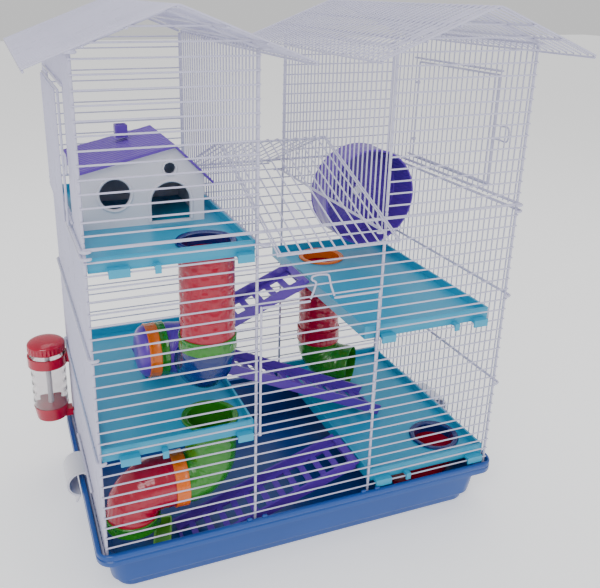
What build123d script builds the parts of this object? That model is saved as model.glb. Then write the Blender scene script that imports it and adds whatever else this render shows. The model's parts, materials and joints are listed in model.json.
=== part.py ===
from build123d import *
import math
import os

# Hamster cage: a moulded tray, two wire towers and a lower middle bay between them.
# Millimetres. The origin is the centre of the tray's underside, +Z up, +Y to the back, +X right.

# driving dimensions of the wire cage
tower_width = 165.0
bay_width = 142.0
cage_depth = 284.96        # between the centres of the front and back posts
wire_pitch = 12.7
lower_wires = 39           # the front wires are counted down from wire 0 at the tower tops
split_wire = 13            # thick wire that the middle bay's roof rests on
mesh_pitch = 10.0          # upright wires of the side walls
mesh_r = 0.9
frame_r = 1.6
rod_r = 1.3                # door frames and roof cross wires
touch = 0.02               # gap between welded wires
clear = 0.3                # gap between pieces that move apart
running = 0.07             # radial gap of a wire hinge

# tray
tray_height = 65.0
rim_height = 14.0
tray_wall = 3.5
tray_floor = 4.0
ledge_z = 54.0
rim_side = 5.5             # rim outside the wires
ledge_side = 0.8           # play between the bottom wires and the tray's upper wall
step_z = 12.0
foot_inset = 6.0
tray_taper = 6.0
corner_r = 18.0
opening_r = 5.5            # corner of the tray's opening, close round the wires

# roofs
roof_slope = 0.39          # rise over run
roof_overhang = 37.0       # past the front and back wires
eave_overhang = 40.0       # past the tower's posts
rafter_pitch = 10.0
ridge_above_top = roof_slope * tower_width / 2 + 11.8     # tower ridge above wire 0

# doors
door_top_wire = 19.35
door_hinge_wire = 31
side_door_front = -80.0
side_door_back = 85.0
side_door_top = 2.45       # in wire pitches below wire 0
side_door_bottom = 13.2

# shelves
shelf_width = tower_width - 4.0
shelf_side_gap = 2.5
shelf_lip = 9.0
shelf_skirt = 6.0
shelf_thick = 2.5
shelf_play = 1.4
right_shelf_shift = -15.0  # the upper right shelf stands out to the left

# tubes
tube_r = 29.0
tube_wall = 2.0
ring_wall = 1.6
ring_gap = 0.2
bend_r = 30.5
collar_flange_r = 31.5
collar_bore_r = 25.0
collar_sleeve = 8.0

# ladders
ladder_width = 58.0
ladder_rail = 13.0
ladder_thick = 3.0
ladder_rungs = 11

# house
house_x0, house_x1 = -222.0, -92.0
house_y0, house_y1 = -30.0, 80.0
house_wall = 2.5
house_apex_x = -124.0
house_right_eave = 50.0    # heights above the shelf
house_left_eave = 61.0
house_apex = 83.0
roof_thick = 3.0

# wheel
wheel_r = 66.0
wheel_wall = 2.5
wheel_depth = 50.0
wheel_x = 167.0
wheel_lift = 25.0          # the wheel hangs on its axle clear of the shelf
axle_r = 3.0

# water bottle
bottle_r = 22.5
bottle_base_z = 80.0
bottle_height = 112.0

# values worked out from the driving dimensions
half_width = tower_width + bay_width / 2
post_x = [-half_width, -bay_width / 2, bay_width / 2, half_width]
post_y = cage_depth / 2
mesh_y = post_y + frame_r + mesh_r + touch
thick_y = post_y + 2 * frame_r + touch
side_x = half_width + 2 * frame_r + touch
side_mesh_x = side_x - frame_r - mesh_r - touch
top_z = ledge_z + clear + wire_pitch * (lower_wires + 1) + 2.7
front_tube_y = -post_y + 37.5
back_tube_y = post_y - 43.5
wheel_y = post_y - 30.0 - wheel_depth / 2
tower_centres = [-(bay_width + tower_width) / 2, (bay_width + tower_width) / 2]


def wire_z(index):
    return top_z - wire_pitch * index


def stick(a, b, r):
    """A straight round wire from a to b."""
    a, b = Vector(*a), Vector(*b)
    return Solid.make_cylinder(r, (b - a).length, Plane(origin=a, z_dir=b - a))


def block(x0, x1, y0, y1, z0, z1):
    return Pos((x0 + x1) / 2, (y0 + y1) / 2, (z0 + z1) / 2) * Box(x1 - x0, y1 - y0, z1 - z0)


def spread(low, high, pitch):
    """Evenly spaced values from low to high, near the given pitch."""
    count = max(1, round((high - low) / pitch))
    return [low + (high - low) * i / count for i in range(count + 1)]


def write(name, shapes):
    shapes = shapes if isinstance(shapes, list) else [shapes]
    solids = [s for shape in shapes for s in shape.solids()]
    body = Compound(children=solids) if len(solids) > 1 else solids[0]
    export_step(body, f"parts/{name}.step")


def rounded_slab(hx, hy, z0, z1, r, hx_top=None, hy_top=None):
    """A rounded rectangle carried from z0 to z1, with another half size at the top."""
    low = Pos(0, 0, z0) * RectangleRounded(2 * hx, 2 * hy, r)
    if hx_top is None:
        return extrude(low, z1 - z0)
    high = Pos(0, 0, z1) * RectangleRounded(2 * hx_top, 2 * hy_top, r)
    return loft([low, high])


# ---- tray ---------------------------------------------------------------------------------
opening_x = side_x + frame_r + ledge_side
opening_y = thick_y + frame_r + ledge_side
rim_x, rim_y = opening_x + rim_side, opening_y + rim_side
wall_x, wall_y = side_x - 2.5, post_y + 1.5


def make_tray():
    taper = tray_taper * (tray_height - rim_height - step_z) / (tray_height - rim_height)
    body = rounded_slab(rim_x, rim_y, tray_height - rim_height, tray_height, corner_r)
    body += rounded_slab(wall_x - taper, wall_y - taper, step_z, tray_height - rim_height, corner_r,
                         wall_x, wall_y)
    foot_x, foot_y = wall_x - taper - foot_inset, wall_y - taper - foot_inset
    body += rounded_slab(foot_x, foot_y, 0, step_z, corner_r)
    body -= rounded_slab(foot_x - tray_wall, foot_y - tray_wall, tray_floor, step_z, corner_r - 4)
    inner_x, inner_y = wall_x - tray_wall, wall_y - tray_wall
    body -= rounded_slab(foot_x - tray_wall, foot_y - tray_wall, step_z, ledge_z, corner_r - 4,
                         inner_x, inner_y)
    body -= rounded_slab(opening_x, opening_y, ledge_z, tray_height + 1, opening_r)
    for x in post_x[1:3]:
        for side in (-9.0, 9.0):
            body += block(x + side - 3, x + side + 3, -opening_y - 3, -opening_y - 0.6,
                          tray_height, tray_height + 3)
    write("base_tray", body)
    trough = block(-10, 10, -28, 28, tray_floor, tray_floor + 13)
    trough = fillet(trough.edges().filter_by(Axis.Z), 7)
    trough -= block(-8, 8, -22, 22, tray_floor + 2, tray_floor + 14)
    write("feeding_trough", Pos(-163, -post_y + 65.5, 0) * Rot(0, 0, -15.5) * trough)


# ---- wire panels --------------------------------------------------------------------------
door_x0, door_x1 = post_x[1] + 3.5, post_x[2] - 3.5
door_rows = range(20, door_hinge_wire)


def make_face(side):
    """The full-width lower panel, front (side -1) or back (side 1)."""
    wires = []
    end = half_width + frame_r
    for i in range(split_wire + 1, lower_wires + 1):
        z = wire_z(i)
        if side < 0 and i in door_rows:
            wires.append(stick((-end, side * mesh_y, z), (post_x[1] + frame_r, side * mesh_y, z), mesh_r))
            wires.append(stick((post_x[2] - frame_r, side * mesh_y, z), (end, side * mesh_y, z), mesh_r))
        else:
            wires.append(stick((-end, side * mesh_y, z), (end, side * mesh_y, z), mesh_r))
    for z in (wire_z(split_wire), wire_z(lower_wires + 1)):
        wires.append(stick((-end, side * thick_y, z), (end, side * thick_y, z), frame_r))
    low = ledge_z + clear
    high = wire_z(split_wire - 0.45)
    for x in post_x:
        wires.append(stick((x, side * post_y, low), (x, side * post_y, high), frame_r))
    return wires


def depth_wire(x, index, r=frame_r, end=thick_y + 0.3):
    return stick((x, -end, wire_z(index)), (x, end, wire_z(index)), r)


def upright_ys():
    """The upright mesh wires, with jamb wires at the side door's two edges."""
    edge = post_y - frame_r - mesh_r - 4
    return (spread(-edge, side_door_front, mesh_pitch)[:-1]
            + spread(side_door_front, side_door_back, mesh_pitch)
            + spread(side_door_back, edge, mesh_pitch)[1:])


def make_side(side):
    """The lower side wall, left (side -1) or right (side 1)."""
    wires = [depth_wire(side * side_x, i) for i in (split_wire + 0.6, 21.6, 30.6)]
    wires.append(depth_wire(side * side_x, lower_wires + 1, end=post_y + frame_r))
    clip_z = wire_z(38.2)
    wires.append(stick((side * side_x, -62, clip_z), (side * side_x, 62, clip_z), frame_r))
    for y in upright_ys():
        x = side * side_mesh_x
        wires.append(stick((x, y, wire_z(lower_wires + 1.15)), (x, y, wire_z(split_wire + 0.45)), mesh_r))
    return wires


# ---- towers -------------------------------------------------------------------------------
roof_ridge = top_z + ridge_above_top
cross_r = 1.2
cross_drop = (mesh_r + cross_r + touch) * math.hypot(1, roof_slope)
gable_drop = (mesh_r + 2 * cross_r + frame_r + 2 * touch) * math.hypot(1, roof_slope)
roof_half = tower_width / 2 + eave_overhang


def roof_z(dx):
    return roof_ridge - roof_slope * abs(dx)


def make_tower_face(tower, side):
    """Front or back panel of one tower, with its gable wires."""
    centre = tower_centres[tower]
    left, right = post_x[2 * tower], post_x[2 * tower + 1]
    wires = []
    for i in range(0, split_wire):
        z = wire_z(i)
        wires.append(stick((left - frame_r, side * mesh_y, z), (right + frame_r, side * mesh_y, z), mesh_r))
    for i, half in ((-1, 0.445), (-2, 0.23)):
        x0, x1 = centre - half * tower_width, centre + half * tower_width
        wires.append(stick((x0, side * mesh_y, wire_z(i)), (x1, side * mesh_y, wire_z(i)), mesh_r))
    foot = wire_z(split_wire - 0.45) + touch
    for x, sign in ((left, -1), (right, 1)):
        top = roof_z(x - centre) - gable_drop
        wires.append(stick((x, side * post_y, foot), (x, side * post_y, top - frame_r * 1.35), frame_r))
        wires.append(stick((centre + sign * 0.8, side * post_y, roof_z(0.8) - gable_drop),
                           (x, side * post_y, top), frame_r))
    return wires


def make_outer_wall(tower):
    side = -1 if tower == 0 else 1
    wires = [depth_wire(side * side_x, -0.45), depth_wire(side * side_x, split_wire + 0.05)]
    x = side * side_mesh_x
    low, high = wire_z(split_wire + 0.25), wire_z(-0.6)
    sill, head = wire_z(side_door_bottom - 0.9), wire_z(side_door_top - 0.3)
    for y in upright_ys():
        if side_door_front + 1 < y < side_door_back - 1:
            wires.append(stick((x, y, low), (x, y, sill + 2.5), mesh_r))
            wires.append(stick((x, y, head - 2.5), (x, y, high), mesh_r))
        else:
            wires.append(stick((x, y, low), (x, y, high), mesh_r))
    rail_x = side * (side_mesh_x + mesh_r + rod_r + touch)
    for z in (sill, head):
        wires.append(stick((rail_x, side_door_front - 10, z), (rail_x, side_door_back + 9, z), rod_r))
    for z in side_hinge_zs:
        eye = Cylinder(rod_r + 1.1, 3) - Cylinder(rod_r + running, 3)
        lug = block(-(side_door_x - side_mesh_x - mesh_r - touch), -(rod_r + 0.6), -1.0, 1.0, -1.4, 1.4)
        lug = Rot(0, 0, 0 if side > 0 else 180) * lug
        wires.append(Pos(side * side_door_x, side_door_back, z) * (eye + lug))
    return wires


def make_inner_wall(tower):
    """The tower wall over the middle bay; it ends above the bay's roof line."""
    side = 1 if tower == 0 else -1
    post = post_x[1] if tower == 0 else post_x[2]
    x = post + side * (2 * frame_r + touch)
    wires = [depth_wire(x, i, end=post_y + frame_r) for i in (-0.45, split_wire + 1.1)]
    mx = x - side * (frame_r + mesh_r + touch)
    edge = post_y - frame_r - mesh_r - 4
    for y in spread(-edge, edge, mesh_pitch):
        wires.append(stick((mx, y, wire_z(split_wire + 1.25)), (mx, y, wire_z(-0.6)), mesh_r))
    return wires


def make_roof(tower):
    """Wire gable roof: rafters over the ridge, cross wires under them."""
    centre = tower_centres[tower]
    end = mesh_y + roof_overhang
    wires = []
    for y in spread(-end, end, rafter_pitch):
        for sign in (-1, 1):
            wires.append(stick((centre + sign * 0.45, y, roof_z(0.45)),
                               (centre + sign * roof_half, y, roof_z(roof_half)), mesh_r))
    for dx in (0.25 * tower_width, 0.46 * tower_width, roof_half - 1.3):
        for sign in (-1, 1):
            x, z = centre + sign * dx, roof_z(dx) - cross_drop
            wires.append(stick((x, -end - 1, z), (x, end + 1, z), cross_r))
    wires.append(stick((centre, -end - 1, roof_z(0) - cross_drop - 0.3),
                       (centre, end + 1, roof_z(0) - cross_drop - 0.3), cross_r))
    return wires


# ---- middle bay's roof --------------------------------------------------------------------
bay_x0 = post_x[1] + 2 * frame_r + touch + frame_r + mesh_r + clear
bay_x1 = post_x[2] - 2 * frame_r - touch - frame_r - mesh_r - clear
bay_seat = wire_z(split_wire) + (frame_r + mesh_r + clear) * math.hypot(1, roof_slope)
bay_ridge = bay_seat + roof_slope * thick_y


def bay_z(y):
    return bay_ridge - roof_slope * abs(y)


def make_bay_roof():
    end = mesh_y + roof_overhang
    wires = []
    xs = spread(bay_x0, bay_x1, 11.8)
    for n, x in enumerate(xs):
        for sign in (-1, 1):
            rod = stick((x, sign * 0.45, bay_z(0.45)), (x, sign * end, bay_z(end)), mesh_r)
            if sign > 0 and n in (1, len(xs) - 2):
                eye_plane = Plane(origin=(x - 1.2, thick_y, wire_z(split_wire)), z_dir=(1, 0, 0))
                eye = Solid.make_cylinder(frame_r + running + 1.2, 2.4, eye_plane)
                eye -= Solid.make_cylinder(frame_r + running, 2.4, eye_plane)
                rod = eye + rod
                rod -= Solid.make_cylinder(frame_r + running, bay_width, Plane(
                    origin=(-bay_width / 2, thick_y, wire_z(split_wire)), z_dir=(1, 0, 0)))
            wires.append(rod)
    for y, drop in ((-end + 1.3, cross_drop), (end - 1.3, cross_drop), (0, cross_drop + 0.3)):
        wires.append(stick((bay_x0 - mesh_r, y, bay_z(y) - drop), (bay_x1 + mesh_r, y, bay_z(y) - drop),
                           cross_r))
    return wires


# ---- doors --------------------------------------------------------------------------------
def make_front_door():
    """Drop-down door: frame, eleven rows and a sprung loop that catches over a front wire."""
    frame_y = -(mesh_y + mesh_r + clear - 1.3 + rod_r)
    row_y = frame_y - rod_r - mesh_r - touch
    hinge_z = wire_z(door_hinge_wire)
    top = wire_z(door_top_wire)
    wires = []
    for x in (door_x0, door_x1):
        eye_plane = Plane(origin=(x - 1.3, -mesh_y, hinge_z), z_dir=(1, 0, 0))
        upright = stick((x, frame_y, hinge_z + 1.2), (x, frame_y, top + rod_r), rod_r)
        upright += Solid.make_cylinder(mesh_r + running + 1.3, 2.6, eye_plane)
        upright -= Solid.make_cylinder(mesh_r + running, 2.6, eye_plane)
        wires.append(upright)
    gap = 13.5
    middle = (door_x0 + door_x1) / 2
    for a, b in ((door_x0 + rod_r + touch, middle - gap), (middle + gap, door_x1 - rod_r - touch)):
        wires.append(stick((a, frame_y, top), (b, frame_y, top), rod_r))
    latch_y = -(mesh_y + mesh_r + 1.1 + clear)
    latch_top = wire_z(17) - 2.5
    for sign in (-1, 1):
        wires.append(stick((middle + sign * (gap - 1.1 - touch), latch_y, top - rod_r),
                           (middle + sign * (gap - 5.5), latch_y, latch_top), 1.1))
    wires.append(stick((middle - gap + 4.3, latch_y, latch_top + 1.15),
                       (middle + gap - 4.3, latch_y, latch_top + 1.15), 1.1))
    for i in door_rows:
        wires.append(stick((door_x0 - 1, row_y, wire_z(i)), (door_x1 + 1, row_y, wire_z(i)), mesh_r))
    write("front_door", wires)


side_door_x = side_mesh_x + mesh_r + 2 * rod_r + touch + clear + rod_r
side_hinge_zs = (wire_z(side_door_top + 2.2), wire_z(side_door_bottom - 2.6))


def make_side_door(side):
    x = side * side_door_x
    low, high = wire_z(side_door_bottom - 0.55), wire_z(side_door_top)
    wires = [stick((x, y, low), (x, y, high), rod_r) for y in (side_door_front, side_door_back)]
    for z in (low + rod_r, high - rod_r):
        wires.append(stick((x, side_door_front + rod_r + touch, z), (x, side_door_back - rod_r - touch, z),
                           rod_r))
    rows_x = side * (side_door_x + rod_r + mesh_r + touch)
    for y in spread(side_door_front, side_door_back, mesh_pitch)[1:-1]:
        wires.append(stick((rows_x, y, low + 1.0), (rows_x, y, high - 1.0), mesh_r))
    middle = (low + high) / 2
    reach = side_door_front - 26
    for z in (middle - 8, middle + 8):
        wires.append(stick((x, side_door_front - rod_r - touch, z), (x, reach, z), 1.1))
    wires.append(stick((x, reach - 1.1 - touch, middle - 9.1), (x, reach - 1.1 - touch, middle + 9.1), 1.1))
    return wires


# ---- shelves and what passes through them ----------------------------------------------------
def shelf_base(hook_wire):
    """Underside of a shelf that hangs on the given front wire."""
    return wire_z(hook_wire) + 0.5


# distances of the hanging hooks from each shelf's left edge
shelf_hooks = {
    "shelf_upper_left": ((17, 37), (60, 66), (141, 158)),
    "shelf_lower_left": ((17, 37), (60, 66), (141, 158)),
    "shelf_upper_right": ((18, 35), (112, 118), (138, 156)),
    "shelf_lower_right": ((7, 28), (48, 54), (136, 157)),
}
shelf_left_x = -side_mesh_x + mesh_r + shelf_side_gap
shelves = {
    "shelf_upper_left": (shelf_left_x, 15, (-112.0, front_tube_y)),
    "shelf_lower_left": (shelf_left_x, 31, (-111.0, front_tube_y)),
    "shelf_upper_right": (post_x[2] + right_shelf_shift, 24, (114.0, back_tube_y)),
    "shelf_lower_right": (post_x[2] + 1.8, 39, (194.0, front_tube_y + 12.0)),
}


def shelf_floor(name):
    return shelf_base(shelves[name][1]) + shelf_skirt


def make_shelf(name):
    """Moulded floor with a raised lip, hooks at front and back and a round hole."""
    x0, hook_wire, (hx, hy) = shelves[name]
    x1 = x0 + shelf_width
    y1 = post_y - frame_r - shelf_play
    base = shelf_base(hook_wire)
    floor = base + shelf_skirt
    body = block(x0, x1, -y1, y1, base, floor + shelf_lip)
    body -= block(x0 + shelf_thick, x1 - shelf_thick, -y1 + shelf_thick, y1 - shelf_thick,
                  floor, floor + shelf_lip + 1)
    body -= block(x0 + shelf_thick, x1 - shelf_thick, -y1 + shelf_thick, y1 - shelf_thick,
                  base - 1, floor - shelf_thick)
    hook_z = wire_z(hook_wire) + mesh_r + clear
    hook_y = mesh_y + mesh_r + clear
    for side in (-1, 1):
        for a, b in shelf_hooks[name]:
            a, b = x0 + a, x0 + b
            ys = sorted((side * (y1 - 1), side * (hook_y + 2)))
            body += block(a, b, ys[0], ys[1], hook_z, hook_z + 3.5)
            ys = sorted((side * hook_y, side * (hook_y + 2)))
            body += block(a, b, ys[0], ys[1], hook_z - 5, hook_z + 1)
    body -= Pos(hx, hy, floor) * Cylinder(collar_sleeve_r + ring_gap, 60)
    write(name, body)


collar_sleeve_r = tube_r - tube_wall - ring_gap


def make_collar(name, shelf):
    hx, hy = shelves[shelf][2]
    floor = shelf_floor(shelf)
    bottom = floor - shelf_thick - collar_sleeve
    ring = Pos(hx, hy, floor + 1.5) * Cylinder(collar_flange_r, 3)
    ring += Pos(hx, hy, (floor + bottom) / 2) * Cylinder(collar_sleeve_r, floor - bottom)
    ring -= Pos(hx, hy, floor) * Cylinder(collar_bore_r, 100)
    write(name, ring)


def tube_top(shelf):
    """Tubes butt against the underside of the shelf's floor plate."""
    return shelf_floor(shelf) - shelf_thick


def pipe(points_in, turn, points_out, name):
    """A hollow elbow: a stub, a quarter turn and a stub."""
    path = Wire([Line(points_in, turn[0]), ThreePointArc(*turn), Line(turn[2], points_out)])
    start = Vector(*points_in)
    plane = Plane(origin=start, z_dir=Vector(*turn[0]) - start)
    section = plane * (Circle(tube_r) - Circle(tube_r - tube_wall))
    write(name, sweep(section, path=path))


def quarter(centre, start, end):
    """The three points of a quarter turn about centre."""
    c, a, b = Vector(*centre), Vector(*start), Vector(*end)
    middle = c + ((a - c) + (b - c)).normalized() * bend_r
    return tuple(a), tuple(middle), tuple(b)


def tube_upright(name, x, y, z0, z1):
    tube = Cylinder(tube_r, z1 - z0) - Cylinder(tube_r - tube_wall, z1 - z0)
    write(name, Pos(x, y, (z0 + z1) / 2) * tube)


def ring_band(name, centre, axis, width):
    ring = Cylinder(tube_r + ring_gap + ring_wall, width) - Cylinder(tube_r + ring_gap, width)
    turn = Rot(0, 90, 0) if axis == "x" else Rot(0, 0, 0)
    write(name, Pos(*centre) * turn * ring)


def end_dome(name, x, y, z):
    """A closed end, a short sleeve and a shallow cone-nosed cap facing -X."""
    sleeve, rise, nose = 17.0, 12.0, 12.0

    def plug(r, length, height):
        return (Pos(0, 0, length / 2) * Cylinder(r, length)
                + Pos(0, 0, length + height / 2) * Cone(r, r - nose, height))

    shell = plug(tube_r, sleeve, rise) - plug(tube_r - tube_wall, sleeve, rise - tube_wall)
    write(name, Pos(x, y, z) * Rot(0, -90, 0) * shell)


def make_tubes():
    # upper left run: down from the shelf, to the back, then to the left
    x, y = shelves["shelf_upper_left"][2]
    joint = tube_top("shelf_upper_left") - 105
    tube_upright("red_tube_left", x, y, joint, tube_top("shelf_upper_left"))
    ring_band("green_ring_left", (x, y, joint), "z", 15)
    drop = joint - 8
    axis = drop - bend_r
    back = y + bend_r
    turn_y = back + 5
    pipe((x, y, joint), quarter((x, back, drop), (x, y, drop), (x, back, axis)), (x, turn_y, axis),
         "blue_elbow")
    out, run_y = x - bend_r, turn_y + 2 + bend_r
    pipe((x, turn_y, axis), quarter((out, turn_y + 2, axis), (x, turn_y + 2, axis), (out, run_y, axis)),
         (out - 7, run_y, axis), "purple_elbow")
    ring_band("green_ring_upper", (out - 5.5, run_y, axis), "x", 9)
    ring_band("orange_ring_upper", (out - 5.5 - 4.5 - 0.1 - 6.5, run_y, axis), "x", 13)
    end_dome("purple_end_dome", out - 7, run_y, axis)
    # lower left run: from the lower shelf, to the left, then down
    x, y = shelves["shelf_lower_left"][2]
    top = tube_top("shelf_lower_left")
    drop = top - 37
    axis = drop - bend_r
    out = x - bend_r
    joint = out - 8
    pipe((x, y, top), quarter((out, y, drop), (x, y, drop), (out, y, axis)), (joint, y, axis),
         "green_elbow_left")
    ring_band("orange_ring_lower", (joint, y, axis), "x", 15)
    turn_x = joint - 21
    foot = axis - bend_r
    pipe((joint, y, axis), quarter((turn_x, y, foot), (turn_x, y, axis), (turn_x - bend_r, y, foot)),
         (turn_x - bend_r, y, foot - 10), "red_elbow_left")
    ring_band("green_ring_lower", (turn_x - bend_r, y, foot - 7), "z", 13)
    # right run: down from the upper right shelf to the lower one, mouth to the front right
    x, y = shelves["shelf_upper_right"][2]
    axis = shelf_floor("shelf_lower_right") + tube_r + clear
    drop = axis + bend_r
    joint = drop + 8
    tube_upright("red_tube_right", x, y, joint, tube_top("shelf_upper_right"))
    ring_band("red_ring_right", (x, y, joint + 7), "z", 21)
    along = (0.731, -0.682)
    out_x, out_y = x + along[0] * bend_r, y + along[1] * bend_r
    pipe((x, y, joint), quarter((out_x, out_y, drop), (x, y, drop), (out_x, out_y, axis)),
         (out_x + along[0] * 21, out_y + along[1] * 21, axis), "green_elbow_right")
    # under the lower right shelf: a short drop into the tray, mouth to the left
    x, y = shelves["shelf_lower_right"][2]
    top = tube_top("shelf_lower_right")
    drop = top - 5
    axis = drop - bend_r
    out = x - bend_r
    pipe((x, y, top), quarter((out, y, drop), (x, y, drop), (out, y, axis)), (out - 20, y, axis),
         "red_elbow_right")


# ---- ladders ------------------------------------------------------------------------------
def make_ladder(name, low, high, y0):
    """A moulded ladder from its low end to the hook at its high end; low and high are (x, z)."""
    run, rise = high[0] - low[0], high[1] - low[1]
    length = math.hypot(run, rise)
    body = block(0, length, 0, ladder_width, 0, ladder_thick)
    for y in (0, ladder_width - ladder_thick):
        body += block(0, length, y, y + ladder_thick, 0, ladder_rail)
    step = length / (ladder_rungs + 1)
    for n in range(ladder_rungs + 1):
        body -= block(step * (n + 0.5) - 5.5, step * (n + 0.5) + 5.5, 9, ladder_width - 9, -1, 4)
    body += block(length - 3, length + 6, 0, ladder_width, ladder_rail - 9, ladder_rail - 6)
    angle = math.degrees(math.atan2(rise, abs(run)))
    if run > 0:
        placed = Rot(0, -angle, 0) * body
    else:
        placed = Rot(0, 0, 180) * Rot(0, -angle, 0) * Pos(0, -ladder_width, 0) * body
    write(name, Pos(low[0], y0, low[1]) * placed)


def make_ladders():
    lift = clear + 0.2
    low_right = shelves["shelf_lower_right"]
    make_ladder("floor_ladder", (-143, tray_floor + lift), (low_right[0] - 6, shelf_floor("shelf_lower_right")
                + 1), -post_y + 22.5)
    left_edge = shelf_left_x + shelf_width
    floor = shelf_floor("shelf_lower_left")
    make_ladder("middle_ladder", (149, shelf_floor("shelf_lower_right") + lift), (left_edge + 7, floor + 2), -24)
    make_ladder("upper_ladder", (-160, floor + lift), (shelves["shelf_upper_right"][0] - 7,
                shelf_floor("shelf_upper_right") + 1), 2)


# ---- house --------------------------------------------------------------------------------
def house_outline(base):
    return [(house_x0, base), (house_x1, base), (house_x1, base + house_right_eave),
            (house_apex_x, base + house_apex), (house_x0, base + house_left_eave)]


def prism(points, y0, y1):
    """A closed outline in X and Z carried from y0 to y1."""
    face = Face(Wire.make_polygon([Vector(x, y0, z) for x, z in points], close=True))
    return extrude(face, y1 - y0, dir=(0, 1, 0))


def make_house():
    base = shelf_floor("shelf_upper_left")
    walls = prism(house_outline(base), house_y0, house_y1)
    walls -= block(house_x0 + house_wall, house_x1 - house_wall, house_y0 + house_wall,
                   house_y1 - house_wall, base - 1, base + house_apex + 20)
    window = Rot(90, 0, 0) * Cylinder(16, 12)
    walls -= Pos(-188, house_y0, base + 36) * window
    walls -= Pos(-129, house_y0, base + 60) * (Rot(90, 0, 0) * Cylinder(6, 12))
    y, sill, spring = house_y0 - 6, base + 3, base + 24
    left, right = -150.0, -108.0
    arch = Wire([Line((left, y, sill), (right, y, sill)), Line((right, y, sill), (right, y, spring)),
                 ThreePointArc((right, y, spring), ((left + right) / 2, y, spring + 21), (left, y, spring)),
                 Line((left, y, spring), (left, y, sill))])
    walls -= extrude(Face(arch), 12, dir=(0, 1, 0))
    write("house_walls", walls)
    left_slope = (house_apex - house_left_eave) / (house_apex_x - house_x0)
    right_slope = (house_apex - house_right_eave) / (house_x1 - house_apex_x)
    top = base + house_apex + clear
    over_left, over_right = 7.0, 9.0
    xl, xr = house_x0 - over_left, house_x1 + over_right
    zl, zr = top - left_slope * (house_apex_x - xl), top - right_slope * (xr - house_apex_x)
    lid = prism([(xl, zl), (house_apex_x, top), (xr, zr), (xr, zr + roof_thick * 1.25),
                 (house_apex_x, top + roof_thick * 1.25), (xl, zl + roof_thick * 1.05)],
                house_y0 - 8, house_y1 + 8)
    lid += block(-172, -158, 44, 58, top - left_slope * 34 + 0.5, top + 12)
    write("house_roof", lid)


# ---- wheel --------------------------------------------------------------------------------
def wheel_z():
    return shelf_floor("shelf_upper_right") + wheel_lift + wheel_r


def make_wheel():
    z = wheel_z()
    back = wheel_depth / 2
    drum = Cylinder(wheel_r, wheel_depth)
    drum -= Pos(0, 0, -wheel_wall) * Cylinder(wheel_r - wheel_wall, wheel_depth)
    drum += Pos(0, 0, back - 3) * Cylinder(9, 6)
    drum -= Cylinder(axle_r + running, wheel_depth + 10)
    turn = Pos(wheel_x, wheel_y, z) * Rot(-90, 0, 0)
    write("wheel_drum", turn * drum)
    plate_y = mesh_y - mesh_r - clear
    inner = wheel_y + back - 6 - clear
    axle = Pos(wheel_x, 0, z) * Rot(-90, 0, 0) * Pos(0, 0, (inner + plate_y) / 2) * Cylinder(
        axle_r, plate_y - inner)
    axle += Pos(wheel_x, inner - 1.5, z) * Rot(-90, 0, 0) * Cylinder(axle_r + 3, 3)
    write("wheel_axle", axle)
    bracket = block(wheel_x - 14, wheel_x + 14, plate_y - 5, plate_y, z - 20, z + 20)
    bracket += Pos(wheel_x, plate_y - 6.5, z) * Rot(-90, 0, 0) * Cylinder(7, 4)
    bracket -= Pos(wheel_x, plate_y, z) * Rot(-90, 0, 0) * Cylinder(axle_r + touch, 40)
    for side in (-1, 1):
        lug_z = z + side * 14
        bracket += block(wheel_x - 8, wheel_x + 8, plate_y - 1, plate_y + mesh_r, lug_z - 1.0, lug_z + 1.0)
    write("wheel_bracket", bracket)


# ---- water bottle -------------------------------------------------------------------------
bottle_y = sum(upright_ys()[-3:-1]) / 2      # the spout passes between two upright wires
bottle_x = -(side_x + frame_r + bottle_r + 2.1)


def make_bottle():
    z0 = bottle_base_z
    top = z0 + bottle_height
    seat = z0 + 18
    shell_top = top - 16
    shell = Pos(bottle_x, bottle_y, (seat + shell_top) / 2) * Cylinder(bottle_r, shell_top - seat)
    shell -= Pos(bottle_x, bottle_y, (seat + shell_top) / 2) * Cylinder(bottle_r - 1.5, shell_top - seat)
    write("bottle_reservoir", shell)
    cap = Pos(bottle_x, bottle_y, shell_top + clear + 5) * Cylinder(bottle_r + 1.5, 10)
    dome = Pos(bottle_x, bottle_y, shell_top + clear + 10 + 3) * Cone(bottle_r + 1.5, bottle_r - 9, 6)
    write("bottle_cap", cap + dome)
    base = Pos(bottle_x, bottle_y, (z0 + seat) / 2) * Cone(bottle_r - 3, bottle_r, seat - z0)
    base += block(bottle_x, -side_mesh_x - mesh_r - 1.4, bottle_y - 7, bottle_y + 7, z0 - 3, z0 + 7)
    spout_end = -side_mesh_x + mesh_r + 10
    spout = stick((bottle_x + 10, bottle_y, z0 + 2), (spout_end, bottle_y, z0 + 2), 2.6)
    write("bottle_base", base + spout)
    ring_z = shell_top - 12
    ring = Cylinder(bottle_r + 2.4, 13) - Cylinder(bottle_r + 0.15, 13)
    ring = Pos(bottle_x, bottle_y, ring_z) * ring
    tab = block(bottle_x + bottle_r + 1.5, -side_mesh_x - mesh_r - touch, bottle_y - 8, bottle_y + 8,
                ring_z - 6.5, ring_z + 6.5)
    write("bottle_holder", ring + tab)
    stem_top = shell_top - 3
    stem = Pos(bottle_x, bottle_y, (seat + stem_top) / 2) * Cylinder(3.5, stem_top - seat)
    write("bottle_inner_tube", stem)


# ---- tray clips ---------------------------------------------------------------------------
clip_half = 22.0


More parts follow.
